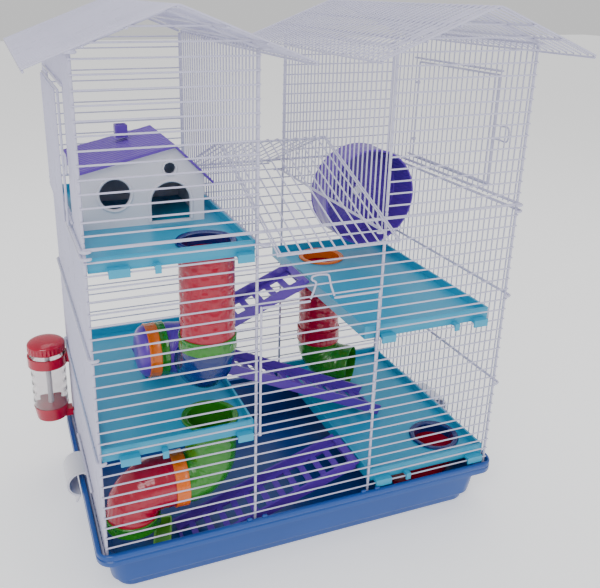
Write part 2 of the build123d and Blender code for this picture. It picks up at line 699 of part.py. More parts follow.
def make_clip(side):
    """A C-shaped latch that hangs on a short side wire and springs against the rim."""
    pivot_z = wire_z(38.2)
    inner = frame_r + 0.06
    sector = Circle(inner + 2.6) - Circle(inner)
    quarter_cut = Pos(-10, -10) * Rectangle(20, 20)
    hook = sector & quarter_cut
    reach = rim_x - side_x + 15
    rim_gap = rim_x - side_x + clear
    low = tray_height - rim_height - pivot_z
    outer = ThreePointArc((-inner - 0.1, -1.3), (-reach, low * 0.52), (-rim_gap - 1.6, low - 2))
    strip = trace(outer, 2.6)
    tail = trace(Line((-rim_gap - 1.6, low - 2), (-rim_gap - 6.5, low - 11)), 2.4)
    outline = hook + strip + tail
    outline -= Circle(inner)
    solid = extrude(Plane(origin=(0, clip_half, 0), x_dir=(1, 0, 0), z_dir=(0, -1, 0)) * outline,
                    2 * clip_half)
    if side > 0:
        solid = mirror(solid, about=Plane.YZ)
    return Pos(side * side_x, 0, pivot_z) * solid


def main():
    os.makedirs("parts", exist_ok=True)
    make_tray()
    write("lower_front_panel", make_face(-1))
    write("lower_back_panel", make_face(1))
    write("lower_left_panel", make_side(-1))
    write("lower_right_panel", make_side(1))
    for tower, label in enumerate(("left", "right")):
        write(f"{label}_tower_front", make_tower_face(tower, -1))
        write(f"{label}_tower_back", make_tower_face(tower, 1))
        write(f"{label}_tower_outer_wall", make_outer_wall(tower))
        write(f"{label}_tower_inner_wall", make_inner_wall(tower))
        write(f"{label}_roof", make_roof(tower))
        side = -1 if tower == 0 else 1
        write(f"{label}_side_door", make_side_door(side))
        write(f"tray_clip_{label}", make_clip(side))
    write("centre_roof", make_bay_roof())
    make_front_door()
    for name in shelves:
        make_shelf(name)
        make_collar(name.replace("shelf", "collar"), name)
    make_tubes()
    make_ladders()
    make_house()
    make_wheel()
    make_bottle()


main()
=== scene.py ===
import bpy
import json
import math
import numpy as np
from mathutils import Matrix, Vector


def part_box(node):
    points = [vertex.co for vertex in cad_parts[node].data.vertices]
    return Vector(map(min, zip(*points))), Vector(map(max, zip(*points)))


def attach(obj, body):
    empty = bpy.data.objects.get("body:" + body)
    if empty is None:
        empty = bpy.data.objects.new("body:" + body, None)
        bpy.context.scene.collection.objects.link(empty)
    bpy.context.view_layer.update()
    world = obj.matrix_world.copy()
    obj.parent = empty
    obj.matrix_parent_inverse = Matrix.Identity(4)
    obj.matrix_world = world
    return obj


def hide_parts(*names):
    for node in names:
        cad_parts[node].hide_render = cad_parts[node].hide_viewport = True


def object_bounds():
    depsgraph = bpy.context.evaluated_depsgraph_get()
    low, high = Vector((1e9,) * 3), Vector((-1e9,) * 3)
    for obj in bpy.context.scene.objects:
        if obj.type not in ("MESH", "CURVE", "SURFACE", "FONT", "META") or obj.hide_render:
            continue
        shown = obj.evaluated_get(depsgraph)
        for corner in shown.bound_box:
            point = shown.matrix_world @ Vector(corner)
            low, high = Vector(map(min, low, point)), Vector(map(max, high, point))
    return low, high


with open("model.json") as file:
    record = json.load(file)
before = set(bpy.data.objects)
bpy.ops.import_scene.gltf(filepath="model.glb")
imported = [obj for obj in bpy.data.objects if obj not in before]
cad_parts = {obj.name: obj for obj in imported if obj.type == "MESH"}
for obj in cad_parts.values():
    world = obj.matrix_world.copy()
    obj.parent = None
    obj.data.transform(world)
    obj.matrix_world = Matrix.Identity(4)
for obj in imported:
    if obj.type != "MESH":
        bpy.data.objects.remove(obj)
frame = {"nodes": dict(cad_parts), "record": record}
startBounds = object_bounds()
record = frame["record"]
bodyOf = {node: body for body, nodes in record["behaviour"]["bodies"].items() for node in nodes}
slotOf = {part["node"]: part["material_slot"] for part in record["subparts"]}
mm = 0.001


# lowest and highest corner of a CAD node's box, in metres
def corners(node):
    lo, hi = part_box(node)
    return np.array(lo, float), np.array(hi, float)


finish = dict(ior=1.49, coatRoughness=0.12, driftScale=14.0, driftDetail=4.0, grainDetail=3.0,
              grainHeight=0.0004, flowScale=45.0, flowDistortion=0.8, flowHeight=0.0015, flowShare=0.8)


# moulded plastic: slight colour drift, fine grain and soft flow marks
def plastic(name, color, rough=0.3, transmission=0.0, bump=0.06, scale=900.0, mottle=0.06, coat=0.25):
    material = bpy.data.materials.new(name)
    material.use_nodes = True
    tree = material.node_tree
    shader = tree.nodes["Principled BSDF"]
    shader.inputs["Roughness"].default_value = rough
    shader.inputs["IOR"].default_value = finish["ior"]
    shader.inputs["Transmission Weight"].default_value = transmission
    shader.inputs["Coat Weight"].default_value = coat
    shader.inputs["Coat Roughness"].default_value = finish["coatRoughness"]
    coords = tree.nodes.new("ShaderNodeTexCoord")
    drift = tree.nodes.new("ShaderNodeTexNoise")
    drift.inputs["Scale"].default_value = finish["driftScale"]
    drift.inputs["Detail"].default_value = finish["driftDetail"]
    ramp = tree.nodes.new("ShaderNodeMix")
    ramp.data_type = "RGBA"
    dark = [max(0.0, c * (1 - 2 * mottle)) for c in color[:3]] + [1.0]
    light = [min(1.0, c * (1 + mottle)) for c in color[:3]] + [1.0]
    ramp.inputs[6].default_value = dark
    ramp.inputs[7].default_value = light
    grain = tree.nodes.new("ShaderNodeTexNoise")
    grain.inputs["Scale"].default_value = scale
    grain.inputs["Detail"].default_value = finish["grainDetail"]
    flow = tree.nodes.new("ShaderNodeTexNoise")
    flow.inputs["Scale"].default_value = finish["flowScale"]
    flow.inputs["Distortion"].default_value = finish["flowDistortion"]
    roughness = tree.nodes.new("ShaderNodeMapRange")
    roughness.inputs["To Min"].default_value = rough * 0.8
    roughness.inputs["To Max"].default_value = min(1.0, rough * 1.3)
    fine = tree.nodes.new("ShaderNodeBump")
    fine.inputs["Strength"].default_value = bump
    fine.inputs["Distance"].default_value = finish["grainHeight"]
    broad = tree.nodes.new("ShaderNodeBump")
    broad.inputs["Strength"].default_value = bump * finish["flowShare"]
    broad.inputs["Distance"].default_value = finish["flowHeight"]
    link = tree.links.new
    for node in (drift, grain, flow):
        link(coords.outputs["Object"], node.inputs["Vector"])
    link(drift.outputs["Fac"], ramp.inputs["Factor"])
    link(ramp.outputs[2], shader.inputs["Base Color"])
    link(flow.outputs["Fac"], roughness.inputs["Value"])
    link(roughness.outputs["Result"], shader.inputs["Roughness"])
    link(grain.outputs["Fac"], fine.inputs["Height"])
    link(flow.outputs["Fac"], broad.inputs["Height"])
    link(broad.outputs["Normal"], fine.inputs["Normal"])
    link(fine.outputs["Normal"], shader.inputs["Normal"])
    return material


looks = {
    "coated_wire": plastic("coatedWire", (0.55, 0.54, 0.71), 0.28, bump=0.1, scale=1400, mottle=0.05,
                           coat=0.35),
    "tray_blue": plastic("trayBlue", (0.001, 0.06, 0.30), 0.3, bump=0.05, coat=0.1),
    "shelf_teal": plastic("shelfTeal", (0.02, 0.36, 0.58), 0.34, transmission=0.08, coat=0.1),
    "purple": plastic("mouldedPurple", (0.12, 0.03, 0.44), 0.3, transmission=0.1, coat=0.1),
    "white_plastic": plastic("mouldedWhite", (0.74, 0.73, 0.80), 0.4, coat=0.1),
    "red": plastic("tubeRed", (0.56, 0.001, 0.04), 0.17, transmission=0.35),
    "green": plastic("tubeGreen", (0.035, 0.30, 0.015), 0.17, transmission=0.35),
    "orange": plastic("ringOrange", (0.85, 0.16, 0.004), 0.25, transmission=0.12),
    "dark_blue": plastic("tubeDarkBlue", (0.008, 0.03, 0.22), 0.17, transmission=0.35),
    "light_green": plastic("troughGreen", (0.22, 0.6, 0.05), 0.3),
    "clear": plastic("clearPlastic", (0.93, 0.90, 0.91), 0.06, transmission=0.95, bump=0.02, mottle=0.01),
}
print("materials made")


creaseAngle = math.radians(38)


# makes a piece of quads and caps, gives it the node's finish and rides it on the node's body
def addMesh(name, verts, faces, node, look=None, replaced=(), extraCaps=()):
    mesh = bpy.data.meshes.new(name)
    mesh.from_pydata(np.asarray(verts).reshape(-1, 3).tolist(), [],
                     np.asarray(faces).tolist() + [list(map(int, cap)) for cap in extraCaps])
    mesh.update()
    mesh.polygons.foreach_set("use_smooth", np.ones(len(mesh.polygons), bool))
    mesh.set_sharp_from_angle(angle=creaseAngle)
    piece = bpy.data.objects.new(name, mesh)
    bpy.context.scene.collection.objects.link(piece)
    slotName = look or slotOf[node]
    mesh.materials.append(looks[slotName])
    for gone in replaced:
        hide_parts(gone)
    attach(piece, bodyOf[node])
    return piece


# quads of a grid of rows x cols points, closed in either direction
def gridFaces(rows, cols, wrapRows=False, wrapCols=True):
    r = np.arange(rows if wrapRows else rows - 1)
    c = np.arange(cols if wrapCols else cols - 1)
    r, c = np.meshgrid(r, c, indexing="ij")
    r2, c2 = (r + 1) % rows, (c + 1) % cols
    return np.stack([r * cols + c, r * cols + c2, r2 * cols + c2, r2 * cols + c], -1).reshape(-1, 4)


# rings round many paths: centre + r (cos a U + sin a V), with U carried along each path
def tubeRings(paths, radius, sides):
    paths = np.asarray(paths, float)
    tangent = np.gradient(paths, axis=1)
    tangent /= np.linalg.norm(tangent, axis=2, keepdims=True)
    first = tangent[:, 0]
    helper = np.where(np.abs(first[:, 2:3]) > 0.8, [[1.0, 0, 0]], [[0, 0, 1.0]])
    u = np.cross(first, helper)
    us = []
    for step in range(paths.shape[1]):
        t = tangent[:, step]
        u = u - (u * t).sum(1, keepdims=True) * t
        u /= np.linalg.norm(u, axis=1, keepdims=True)
        us.append(u)
    u = np.stack(us, 1)
    v = np.cross(tangent, u)
    angle = np.linspace(0, 2 * math.pi, sides, endpoint=False)
    r = np.broadcast_to(np.asarray(radius, float), paths.shape[:2])[:, :, None, None]
    return (paths[:, :, None] + r * (np.cos(angle)[None, None, :, None] * u[:, :, None]
                                     + np.sin(angle)[None, None, :, None] * v[:, :, None]))


# vertices, quads and end caps of groups of (paths, radius) swept as round wires with eased ends
def wireMesh(groups, sides=10):
    verts, quads, caps, offset = [], [], [], 0
    for paths, radius in groups:
        rings = tubeRings(paths, radius, sides)
        count, steps = rings.shape[:2]
        base = gridFaces(steps, sides)
        starts = offset + np.arange(count) * steps * sides
        quads.append((base[None] + starts[:, None, None]).reshape(-1, 4))
        for start in starts:
            caps.append(start + np.arange(sides)[::-1])
            caps.append(start + (steps - 1) * sides + np.arange(sides))
        verts.append(rings.reshape(-1, 3))
        offset += count * steps * sides
    return np.concatenate(verts), np.concatenate(quads), caps


wireEnd = dict(lift=(0.0, 0.12, 0.5, 1.0), width=(0.45, 0.72, 0.93, 1.0))  # in radii, out to the full wire


# a straight run whose radius grows over the first and last radius of its length, for a rounded end
def easedEnds(start, end, radius):
    start, end, radius = np.asarray(start, float), np.asarray(end, float), np.asarray(radius, float)
    length = np.linalg.norm(end - start, axis=1)
    lift, width = np.array(wireEnd["lift"]), np.array(wireEnd["width"])
    near = lift[None] * radius[:, None] / length[:, None]
    t = np.concatenate([near, np.full((len(length), 1), 0.5), 1 - near[:, ::-1]], 1)
    r = np.concatenate([width, [1.0], width[::-1]])[None] * radius[:, None]
    return start[:, None] + t[..., None] * (end - start)[:, None], r


# a rounded curve through the points, each coordinate a cubic between neighbours
def smoothPath(points, steps=12, closed=False):
    p = np.asarray(points, float)
    if closed:
        p = np.vstack([p[-1], p, p[0], p[1]])
    else:
        p = np.vstack([2 * p[0] - p[1], p, 2 * p[-1] - p[-2]])
    t = np.linspace(0, 1, steps, endpoint=False)[:, None]
    out = []
    for i in range(1, len(p) - 2):
        a, b, c, d = p[i - 1:i + 3]
        out.append(0.5 * (2 * b + (c - a) * t + (2 * a - 5 * b + 4 * c - d) * t ** 2
                          + (3 * b - a - 3 * c + d) * t ** 3))
    return np.vstack(out + ([] if closed else [p[-2:-1]]))


# connected pieces of a CAD node's mesh: a list of (vertices, faces)
def looseParts(node):
    mesh = frame["nodes"][node].data
    co = np.empty(len(mesh.vertices) * 3)
    mesh.vertices.foreach_get("co", co)
    co = co.reshape(-1, 3)
    tris = np.empty(len(mesh.loop_triangles) * 3, np.int32)
    mesh.loop_triangles.foreach_get("vertices", tris)
    points, same = np.unique(np.round(co, 6), axis=0, return_inverse=True)
    tris = same.reshape(-1)[tris].reshape(-1, 3)
    label = np.arange(len(points))
    while True:
        low = label[tris].min(1)
        new = label.copy()
        for k in range(3):
            np.minimum.at(new, tris[:, k], low)
        if (new == label).all():
            break
        label = new
    parts = []
    for value in np.unique(label[tris[:, 0]]):
        inside = np.where(label == value)[0]
        faces = tris[label[tris[:, 0]] == value]
        remap = np.zeros(len(points), int)
        remap[inside] = np.arange(len(inside))
        parts.append((points[inside], remap[faces]))
    return parts


wireTest = dict(thickest=0.0019, roundness=0.8, shortest=0.004)  # metres, and least over greatest radius


# splits a node into straight round wires (start, end, radius) and other pieces
def readWires(node):
    starts, ends, radii, others = [], [], [], []
    for points, faces in looseParts(node):
        centre = (points.max(0) + points.min(0)) / 2
        axis = np.linalg.svd(points - points.mean(0), full_matrices=False)[2][0]
        along = (points - centre) @ axis
        mid = centre + axis * (along.max() + along.min()) / 2
        off = points - mid - np.outer((points - mid) @ axis, axis)
        r = np.linalg.norm(off, axis=1)
        isRound = r.max() < wireTest["thickest"] and r.min() > wireTest["roundness"] * r.max()
        if isRound and np.ptp(along) > wireTest["shortest"]:
            half = np.ptp(along) / 2
            if axis @ np.array([1.0, 1.1, 1.2]) < 0:  # the same way round for every wire
                axis = -axis
            starts.append(mid - axis * half)
            ends.append(mid + axis * half)
            radii.append(r.max())
        else:
            others.append((points, faces))
    return np.array(starts), np.array(ends), np.array(radii), others


def bevel(node, width, segments=2, angle=32):
    piece = frame["nodes"][node]
    mod = piece.modifiers.new("softEdges", "BEVEL")
    mod.width = width * mm
    mod.segments = segments
    mod.limit_method = "ANGLE"
    mod.angle_limit = math.radians(angle)
    mod.harden_normals = False


for piece in frame["nodes"].values():
    piece.data.calc_loop_triangles()

wireNodes = [n for n, s in slotOf.items() if s == "coated_wire"]
hook = dict(radius=4.8, steps=9, sweep=2.5, inset=0.0012, wire=0.00158, tip=0.7, longRun=0.28,
            thickWire=0.0014)
rafter = dict(blunt=2.2, endGap=0.0026, rise=0.0002)
frontLatch = dict(wire=0.0011, setBack=0.0031, drop=0.0013, outline=(
    (-13.4, -25.5), (-9.6, -15), (-8.4, -8), (-12.4, -5), (-12.6, -1.5), (-8, -0.2), (-1, -0.2), (5.2, -1.6),
    (7.2, -6.5), (9.4, -15), (13.4, -25.5)))
sideLatch = dict(wire=0.0011, proud=0.0013, root=0.0255, neck=0.014, tip=0.0011, nose=0.004, half=0.008,
                 flare=0.0085, round=0.005)
latchWire = (0.00105, 0.0012)  # radii of the CAD latch wires that the loops below stand for


# bent ends of the thick depth wires: a circular arc from each end in towards the middle
def endHooks(starts, ends, radii):
    paths = []
    side = np.sign(starts[:, 0])
    angle = np.linspace(0, hook["sweep"], hook["steps"])
    r = hook["radius"] * mm
    thick = (np.abs((ends - starts)[:, 1]) > hook["longRun"]) & (radii > hook["thickWire"])
    for i in np.where(thick)[0]:
        for tip, way in ((starts[i], -1), (ends[i], 1)):
            x = tip[0] - side[i] * r * (1 - np.cos(angle))
            y = tip[1] - way * hook["inset"] + way * r * np.sin(angle)
            paths.append(np.stack([x, y, np.full_like(x, tip[2])], -1))
    return np.array(paths)


# rafters bent over the ridge: height falls with the rounded distance from the ridge line
def bentRafters(node, across, middle):
    starts, ends, radii, others = readWires(node)
    slanted = np.abs((ends - starts)[:, 2]) > 0.01
    low = np.where((starts[:, 2] < ends[:, 2])[:, None], starts, ends)[slanted]
    high = np.where((starts[:, 2] < ends[:, 2])[:, None], ends, starts)[slanted]
    run = 1 - across
    half = np.abs(low[:, across] - middle).max()
    ridge = high[:, 2].max()
    slope = (ridge - low[:, 2].min()) / half
    where = np.unique(np.round(low[:, run], 4))
    where = np.concatenate([where, [where[0] + rafter["endGap"], where[-1] - rafter["endGap"]]])
    t = np.concatenate([[-1, -0.9985, -0.995], np.linspace(-0.98, -0.08, 8), np.linspace(-0.06, 0.06, 9),
                        np.linspace(0.08, 0.98, 8), [0.995, 0.9985, 1]])
    width = np.concatenate([[0.45, 0.8, 1.0], np.ones(25), [1.0, 0.8, 0.45]])
    path = np.zeros((len(where), len(t), 3))
    path[:, :, across] = middle + t * half
    path[:, :, run] = where[:, None]
    path[:, :, 2] = ridge - slope * (np.sqrt((t * half) ** 2 + (rafter["blunt"] * mm) ** 2)
                                           - rafter["rise"])
    path[:, 0, 2] = path[:, 1, 2]
    path[:, -1, 2] = path[:, -2, 2]
    r = width[None] * radii[slanted].min() * np.ones((len(where), 1))
    keep = ~slanted
    return (path, r), (starts[keep], ends[keep], radii[keep]), others


# adds the small hinge eyes and lugs as they are
def otherMeshes(others, verts, caps):
    offset = len(verts)
    for points, faces in others:
        verts = np.concatenate([verts, points])
        caps = caps + [face + offset for face in faces]
        offset += len(points)
    return verts, caps


for node in wireNodes:
    lo, hi = corners(node)
    if node.endswith("roof"):
        across = 1 if node == "centre_roof" else 0
        middle = 0.0 if across == 1 else (lo[0] + hi[0]) / 2
        bent, straight, others = bentRafters(node, across, middle)
        path, radius = easedEnds(*straight)
        groups = [bent, (path, radius)]
    else:
        starts, ends, radii, others = readWires(node)
        if node.endswith("door"):
            plain = ~((radii > latchWire[0]) & (radii < latchWire[1]))
            starts, ends, radii = starts[plain], ends[plain], radii[plain]
        path, radius = easedEnds(starts, ends, radii)
        groups = [(path, radius)]
        hooks = endHooks(starts, ends, radii)
        if len(hooks):
            taper = np.ones(hooks.shape[1])
            taper[-1] = hook["tip"]
            groups.append((hooks, hook["wire"] * taper[None] * np.ones((len(hooks), 1))))
    if node == "front_door":
        outline = np.array(frontLatch["outline"]) * mm
        points = np.stack([(lo[0] + hi[0]) / 2 + outline[:, 0],
                           np.full(len(outline), lo[1] + frontLatch["setBack"]),
                           hi[2] - frontLatch["drop"] + outline[:, 1]], -1)
        groups.append((smoothPath(points, 8)[None], frontLatch["wire"]))
    if node.endswith("side_door"):
        x = lo[0] + sideLatch["proud"] if lo[0] > 0 else hi[0] - sideLatch["proud"]
        root, neck, tip = (lo[1] + sideLatch[k] for k in ("root", "neck", "tip"))
        nose, half, flare = tip + sideLatch["nose"], sideLatch["half"], sideLatch["flare"]
        outline = [(root, -half), (neck, -half), (nose, -flare), (tip, -sideLatch["round"]),
                   (tip, sideLatch["round"]), (nose, flare), (neck, half), (root, half)]
        points = [(x, y, (lo[2] + hi[2]) / 2 + z) for y, z in outline]
        groups.append((smoothPath(points, 8)[None], sideLatch["wire"]))
    verts, quads, caps = wireMesh(groups)
    verts, caps = otherMeshes(others, verts, caps)
    verts = np.clip(verts, startBounds[0], startBounds[1])
    addMesh(node + "_wires", verts, quads, node, replaced=[node], extraCaps=caps)
print("wires made")


# rounded rectangles (half x, half y, corner radius, z) joined one above the other, in millimetres
def loopStack(loops, points=25):
    angle = np.linspace(0, math.pi / 2, points)
    rings = []
    for hx, hy, r, z in loops:
        quarter = []
        for k, (sx, sy) in enumerate(((1, 1), (-1, 1), (-1, -1), (1, -1))):
            a = angle + k * math.pi / 2
            quarter.append(np.stack([sx * (hx - r) + r * np.cos(a), sy * (hy - r) + r * np.sin(a),
                                     np.full_like(a, z)], -1))
        rings.append(np.concatenate(quarter))
    return np.array(rings) * mm


# quads between rings, with a fan of triangles round a middle point at each end
def capped(rings):
    rows, cols = rings.shape[:2]
    quads = gridFaces(rows, cols)
    verts = rings.reshape(-1, 3)
    first, last = rings[0].mean(0), rings[-1].mean(0)
    n = len(verts)
    verts = np.vstack([verts, first, last])
    c = np.arange(cols)
    c2 = (c + 1) % cols
    caps = [[n, b, a] for a, b in zip(c, c2)]
    caps += [[n + 1, (rows - 1) * cols + a, (rows - 1) * cols + b] for a, b in zip(c, c2)]
    return verts, quads, caps


lo, hi = corners("base_tray")
trayHalf = (hi[:2] - lo[:2]) / 2 / mm
tray = dict(height=65.0, ledge=54.0, wall=3.5, floor=4.0, rimSide=5.5, corner=18.0, foot=11.0,
            tabs=(-80, -62, 62, 80))



# the tray's rounded rectangles, up the outside from the underside and down the inside to the floor
def trayLoops():
    x, y = trayHalf
    ox, oy = x - tray["rimSide"], y - tray["rimSide"]
    wx, wy = ox - 5.4, oy - 5.8
    c, top = tray["corner"], tray["height"]
    foot, wall = tray["foot"], tray["wall"]
    ledge, deep = tray["ledge"], wall + foot
    loops = []
    # each run is (half x, half y) and its points (inset, corner radius, height)
    for (halfX, halfY), run in (
            ((wx, wy), [(foot + 2.4, c - 2, 0.0), (foot + 0.8, c, 0.5), (foot, c, 2.0), (foot, c, 10.4),
                        (foot - 0.8, c, 11.6), (6.4, c, 12.2), (5.4, c, 13.0), (5.0, c, 14.6), (2.6, c, 33.0),
                        (0.3, c, 50.2), (-0.8, c, 51.0)]),
            ((x, y), [(1.2, c, 51.0), (0.3, c, 51.4), (0, c, 52.4), (0, c, 57.0), (0.7, c, 57.8),
                      (0.7, c, 58.6), (0.1, c, 59.4), (0.1, c, top - 1.8), (0.6, c, top - 0.6),
                      (1.8, c - 1, top)]),
            ((ox, oy), [(-1.2, 7.0, top), (-0.3, 6.0, top - 0.4), (0, 5.5, top - 1.4), (0, 5.5, ledge + 0.6),
                        (0.5, 5.5, ledge)]),
            ((wx, wy), [(wall - 0.6, 14.0, ledge), (wall, 14.0, ledge - 0.8), (deep - 1.6, 14.0, 13.4),
                        (deep, 14.0, 12.0), (deep, 14.0, 6.0), (deep + 2.0, 13.0, tray["floor"])])):
        loops += [(halfX - inset, halfY - inset, radius, z) for inset, radius, z in run]
    return loops


verts, quads, caps = capped(loopStack(trayLoops()))
addMesh("base_tray_shell", verts, quads, "base_tray", replaced=["base_tray"], extraCaps=caps)
tabLoops = [(3, 1.2, 0.9, -0.6), (3, 1.2, 0.9, 2.0), (2.6, 0.9, 0.7, 2.8), (2.0, 0.5, 0.4, 3.0)]
for k, x in enumerate(tray["tabs"]):
    rings = loopStack(tabLoops, 5)
    rings = rings + np.array([x, lo[1] / mm + tray["rimSide"] - 1.8, tray["height"]]) * mm
    verts, quads, caps = capped(rings)
    addMesh(f"rim_tab_{k}", verts, quads, "base_tray", extraCaps=caps)
print("tray made")


tube = dict(radius=29.0, wall=2.0, bend=30.5, sides=72, lip=0.8, outerEase=0.7, innerEase=0.5)
dimple = dict(around=9, pitch=16.0, margin=12, sharpness=1.5)


# a straight, a quarter turn of the given radius and a straight
def bentPath(start, corner, end, n=30):
    start, corner, end = (np.asarray(p, float) for p in (start, corner, end))
    a = (start - corner) / np.linalg.norm(start - corner)
    b = (end - corner) / np.linalg.norm(end - corner)
    bend = tube["bend"] * mm
    centre = corner + (a + b) * bend
    angle = np.linspace(0, math.pi / 2, n)[:, None]
    arc = centre - b * bend * np.cos(angle) - a * bend * np.sin(angle)
    first = start + (arc[0] - start) * np.linspace(0, 1, 9, endpoint=False)[:, None]
    last = arc[-1] + (end - arc[-1]) * np.linspace(0, 1, 10)[1:, None]
    return np.vstack([first, arc, last])


# a hollow tube: outer rings out along the path and inner rings back
# each dimple sinks by a power of the product of two cosines, one round the tube and one along it
def tubeShell(name, path, node, outer, inner, sides=tube["sides"], dimpleDepth=0.0):
    path = np.asarray(path)
    out = tubeRings(path[None], outer[None] * mm, sides)[0]
    if dimpleDepth:
        s = np.linspace(0, np.linalg.norm(path[-1] - path[0]) / mm, len(path))[:, None]
        a = np.linspace(0, 2 * math.pi, sides, endpoint=False)[None]
        wave = np.cos(dimple["around"] * a) * np.cos(2 * math.pi * s / dimple["pitch"])
        cell = np.clip(wave, 0, 1) ** dimple["sharpness"]
        cell = cell * (np.abs(s - s.max() / 2) < s.max() / 2 - dimple["margin"])
        out = out + (path[:, None] - out) * (dimpleDepth * cell / tube["radius"])[..., None]
    back = tubeRings(path[None], inner[None] * mm, sides)[0][::-1]
    rings = np.concatenate([out, back])
    quads = gridFaces(len(rings), sides, wrapRows=True)
    return addMesh(name, rings.reshape(-1, 3), quads, node, replaced=[node])


# outer radius along a tube: grooves of a softened square wave, and a rounded lip at each end
def ribbed(path, depth, pitch, ease):
    step = np.linalg.norm(np.diff(path, axis=0), axis=1)
    s = np.concatenate([[0], np.cumsum(step)]) / mm
    wave = np.tanh(2.5 * np.sin(2 * math.pi * s / pitch))
    edge = np.minimum(s, s[-1] - s)
    radius, lip = tube["radius"], np.clip(1 - edge / tube["lip"], 0, 1)
    outer = radius - depth * 0.5 * (1 - wave)
    outer = np.where(edge < ease, radius, outer)
    outer = outer - tube["outerEase"] * lip
    inner = np.full(len(s), radius - tube["wall"]) + tube["innerEase"] * lip
    return outer, inner


elbowRib = dict(depth=0.35, pitch=11.0, ease=6.0)
turnedAway = np.array([0.731, -0.682, 0]) * 51.5 * mm  # the right run's open end, from its corner


# an elbow from the middle of its CAD box's two open sides, named by the ways it leads
def elbow(node, kind):
    lo, hi = corners(node)
    r = tube["radius"] * mm
    mid = (lo + hi) / 2
    if kind == "down_left":
        a, c, b = (hi[0] - r, mid[1], hi[2]), (hi[0] - r, mid[1], lo[2] + r), (lo[0], mid[1], lo[2] + r)
    elif kind == "down_back":
        a, c, b = (mid[0], lo[1] + r, hi[2]), (mid[0], lo[1] + r, lo[2] + r), (mid[0], hi[1], lo[2] + r)
    elif kind == "back_left":
        a, c, b = (hi[0] - r, lo[1], mid[2]), (hi[0] - r, hi[1] - r, mid[2]), (lo[0], hi[1] - r, mid[2])
    elif kind == "left_down":
        a, c, b = (hi[0], mid[1], hi[2] - r), (lo[0] + r, mid[1], hi[2] - r), (lo[0] + r, mid[1], lo[2])
    else:
        corner = np.array([lo[0] + r, hi[1] - r, lo[2] + r])
        a, c = corner + [0, 0, hi[2] - corner[2]], corner
        b = corner + turnedAway
    path = bentPath(a, c, b)
    fine = np.linspace(0, len(path) - 1, 150)
    path = np.stack([np.interp(fine, np.arange(len(path)), path[:, k]) for k in range(3)], -1)
    outer, inner = ribbed(path, **elbowRib)
    tubeShell(node + "_shell", path, node, outer, inner)


for node, kind in (("blue_elbow", "down_back"), ("purple_elbow", "back_left"),
                   ("green_elbow_left", "down_left"), ("red_elbow_left", "left_down"),
                   ("green_elbow_right", "down_out"), ("red_elbow_right", "down_left")):
    elbow(node, kind)

for node in ("red_tube_left", "red_tube_right"):
    lo, hi = corners(node)
    mid = (lo + hi) / 2
    path = np.stack([np.full(160, mid[0]), np.full(160, mid[1]), np.linspace(hi[2], lo[2], 160)], -1)
    outer, inner = ribbed(path, depth=0.3, pitch=16.0, ease=9.0)
    tubeShell(node + "_shell", path, node, outer, inner, 144, dimpleDepth=1.0)

ring = dict(grip=24, depth=0.5, wall=1.6)
collar = dict(sleeve=26.8, bore=25.0)
dome = dict(wall=2.0, crown=13.0, roundness=0.62)


# a closed outline (radius, distance along the axis) turned round the axis, in millimetres
def revolve(name, node, profile, centre, axis=2, steps=96, relief=None, look=None):
    profile = np.asarray(profile, float)
    angle = np.linspace(0, 2 * math.pi, steps, endpoint=False)[:, None]
    rho, along = profile[:, 0][None] * np.ones_like(angle), profile[:, 1][None] * np.ones_like(angle)
    if relief is not None:
        rho, along = relief(angle, rho, along)
    a, b = rho * np.cos(angle), rho * np.sin(angle)
    order = {2: (a, b, along), 1: (b, along, a), 0: (along, a, b)}[axis]
    verts = np.stack(order, -1) * mm + np.asarray(centre)
    quads = gridFaces(steps, len(profile), wrapRows=True, wrapCols=True)
    after = np.roll(profile, -1, axis=0)
    if np.sum(profile[:, 0] * after[:, 1] - after[:, 0] * profile[:, 1]) > 0:  # drawn the other way round
        quads = quads[:, ::-1]
    return addMesh(name, verts, quads, node, replaced=[node], look=look)


# grip ribs round a ring: the outside falls back by a rounded wave between bands
def gripRelief(depth, limit):
    def relief(angle, rho, along):
        wave = 0.5 - 0.5 * np.tanh(2.2 * np.cos(ring["grip"] * angle))
        middle = np.clip(1.6 - np.abs(along) / limit * 2, 0, 1)
        return rho - depth * wave * middle * (rho > rho.max() - 0.4), along
    return relief


for node in [n for n in slotOf if "_ring_" in n]:
    lo, hi = corners(node)
    size = (hi - lo) / mm
    axis = int(np.argmin(size))
    half = size[axis] / 2
    r, inner = size.max() / 2, size.max() / 2 - ring["wall"]
    profile = [(inner, -half), (r - 0.5, -half), (r, -half + 0.5), (r, -half * 0.6), (r - 0.25, -half * 0.5),
               (r - 0.25, 0), (r - 0.25, half * 0.5), (r, half * 0.6), (r, half - 0.5), (r - 0.5, half),
               (inner, half)]
    revolve(node + "_grip", node, profile, (lo + hi) / 2, axis, 192, gripRelief(ring["depth"], half))

# the lower right collar is dark blue, with its red tube showing through the middle
for node in [n for n in slotOf if n.startswith("collar_")]:
    lo, hi = corners(node)
    r, height = (hi - lo)[0] / 2 / mm, (hi - lo)[2] / mm
    sleeve, bore = collar["sleeve"], collar["bore"]
    profile = [(bore, 0), (sleeve, 0), (sleeve, height - 3), (r - 0.4, height - 3), (r, height - 2.6),
               (r, height - 1.0), (r - 1.0, height), (r - 3, height), (r - 3.5, height - 0.5),
               (bore + 1.6, height - 0.5), (bore, height - 1.6)]
    revolve(node + "_flange", node, profile, ((lo + hi) / 2)[:2].tolist() + [lo[2]], 2, 144,
            look="dark_blue" if node == "collar_lower_right" else None)

lo, hi = corners("purple_end_dome")
length, r = (hi - lo)[0] / mm, (hi - lo)[1] / 2 / mm


# a quarter of a rounded crown, its radius a power of the cosine and its height a sine
def crown(radius, height, turns):
    start = length - dome["crown"]
    angles = [t * math.pi / 2 for t in turns]
    return [(radius * math.cos(a) ** dome["roundness"], start + height * math.sin(a)) for a in angles]


